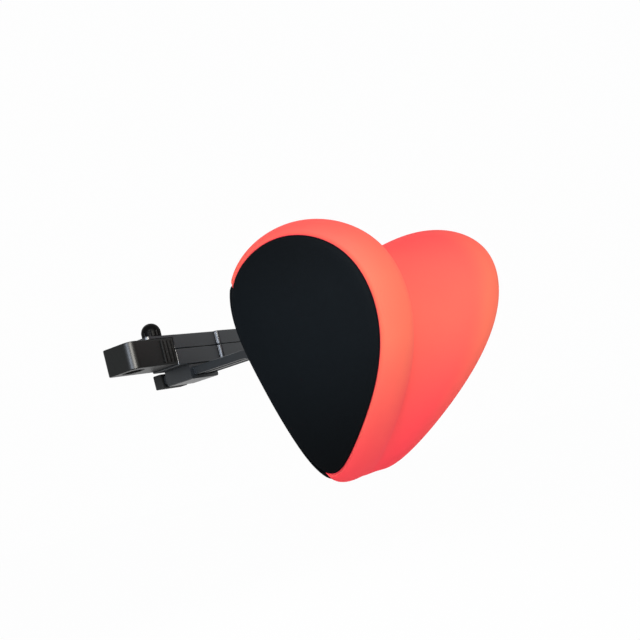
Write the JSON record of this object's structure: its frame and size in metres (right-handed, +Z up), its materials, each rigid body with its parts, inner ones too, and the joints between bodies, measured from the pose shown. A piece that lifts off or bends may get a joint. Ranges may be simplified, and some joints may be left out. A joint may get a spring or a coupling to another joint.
{
  "type": "car neck pillow with headrest post clamp",
  "caption": "Heart-shaped neck pillow in a two-colour knit cover, on a tilting, sliding arm in a clamp that grips a car seat's headrest posts.",
  "frame": {"origin": "midway between the two headrest post axes, level with the clamp's underside", "axes": "+Z up along the headrest posts, -Y forward to where the neck rests, +X to the sitter's left"},
  "size_m": [0.2534, 0.2845, 0.1836],
  "materials": {
    "coral_cloth": "coral warp knit with an elastane stretch, matt with a soft sheen",
    "black_cloth": "black warp knit, matt",
    "zip_tape": "black coil zip on woven tape",
    "foam": "moulded slow-recovery polyurethane foam",
    "clamp_plastic": "moulded ABS, dark slate black, semi-gloss",
    "knob_plastic": "moulded ABS, black, satin",
    "inner_plastic": "moulded polypropylene, grey",
    "rubber": "black moulded rubber",
    "nylon": "natural nylon",
    "steel": "zinc plated steel",
    "zip_metal": "die-cast zinc, black enamel"
  },
  "bodies": {
    "clamp": {"housing_lower": "clamp_plastic", "housing_upper": "clamp_plastic", "housing_screw_1": "steel", "housing_screw_2": "steel", "housing_screw_3": "steel", "brake_pad": "rubber", "post_liner_left": "rubber"},
    "jaw": {"jaw": "clamp_plastic", "stud_nut": "steel", "post_liner_right": "rubber"},
    "knob": {"lock_knob": "knob_plastic", "knob_stud": "steel", "knob_washer": "steel"},
    "arm": {"support_arm": "clamp_plastic", "arm_end_cap": "rubber", "pivot_washer_right": "nylon", "pivot_washer_left": "nylon"},
    "pillow": {"foam_core": "foam", "front_cover": "coral_cloth", "side_panel_right": "black_cloth", "side_panel_left": "black_cloth", "back_panel": "black_cloth", "backing_plate": "inner_plastic", "pivot_bracket": "clamp_plastic", "bracket_screw_1": "steel", "bracket_screw_2": "steel", "bracket_screw_3": "steel", "bracket_screw_4": "steel", "pivot_bolt": "steel", "pivot_nut": "steel", "zip_chain": "zip_tape"},
    "zip_slider": {"zip_slider": "zip_metal"},
    "zip_pull": {"zip_pull": "zip_metal"}
  },
  "joints": [
    {"name": "post_spacing", "type": "slide", "parent": "clamp", "child": "jaw", "axis": [-1, 0, 0], "range_m": [0, 0.016]},
    {"name": "knob_turn", "type": "hinge", "parent": "jaw", "child": "knob", "pos_m": [-0.04, 0, 0.03], "axis": [0, 0, 1], "range_deg": [0, 300]},
    {"name": "arm_slide", "type": "slide", "parent": "clamp", "child": "arm", "axis": [0, -1, 0], "range_m": [-0.045, 0.005]},
    {"name": "pillow_tilt", "type": "hinge", "parent": "arm", "child": "pillow", "pos_m": [0, -0.1155, -0.04], "axis": [1, 0, 0], "range_deg": [-20, 20]},
    {"name": "zip_slide", "type": "slide", "parent": "pillow", "child": "zip_slider", "axis": [-1, 0, 0], "range_m": [0, 0.1]},
    {"name": "zip_pull_swing", "type": "hinge", "parent": "zip_slider", "child": "zip_pull", "pos_m": [0.0535, -0.1272, -0.072], "axis": [0, 0, 1], "range_deg": [0, 150]}
  ]
}
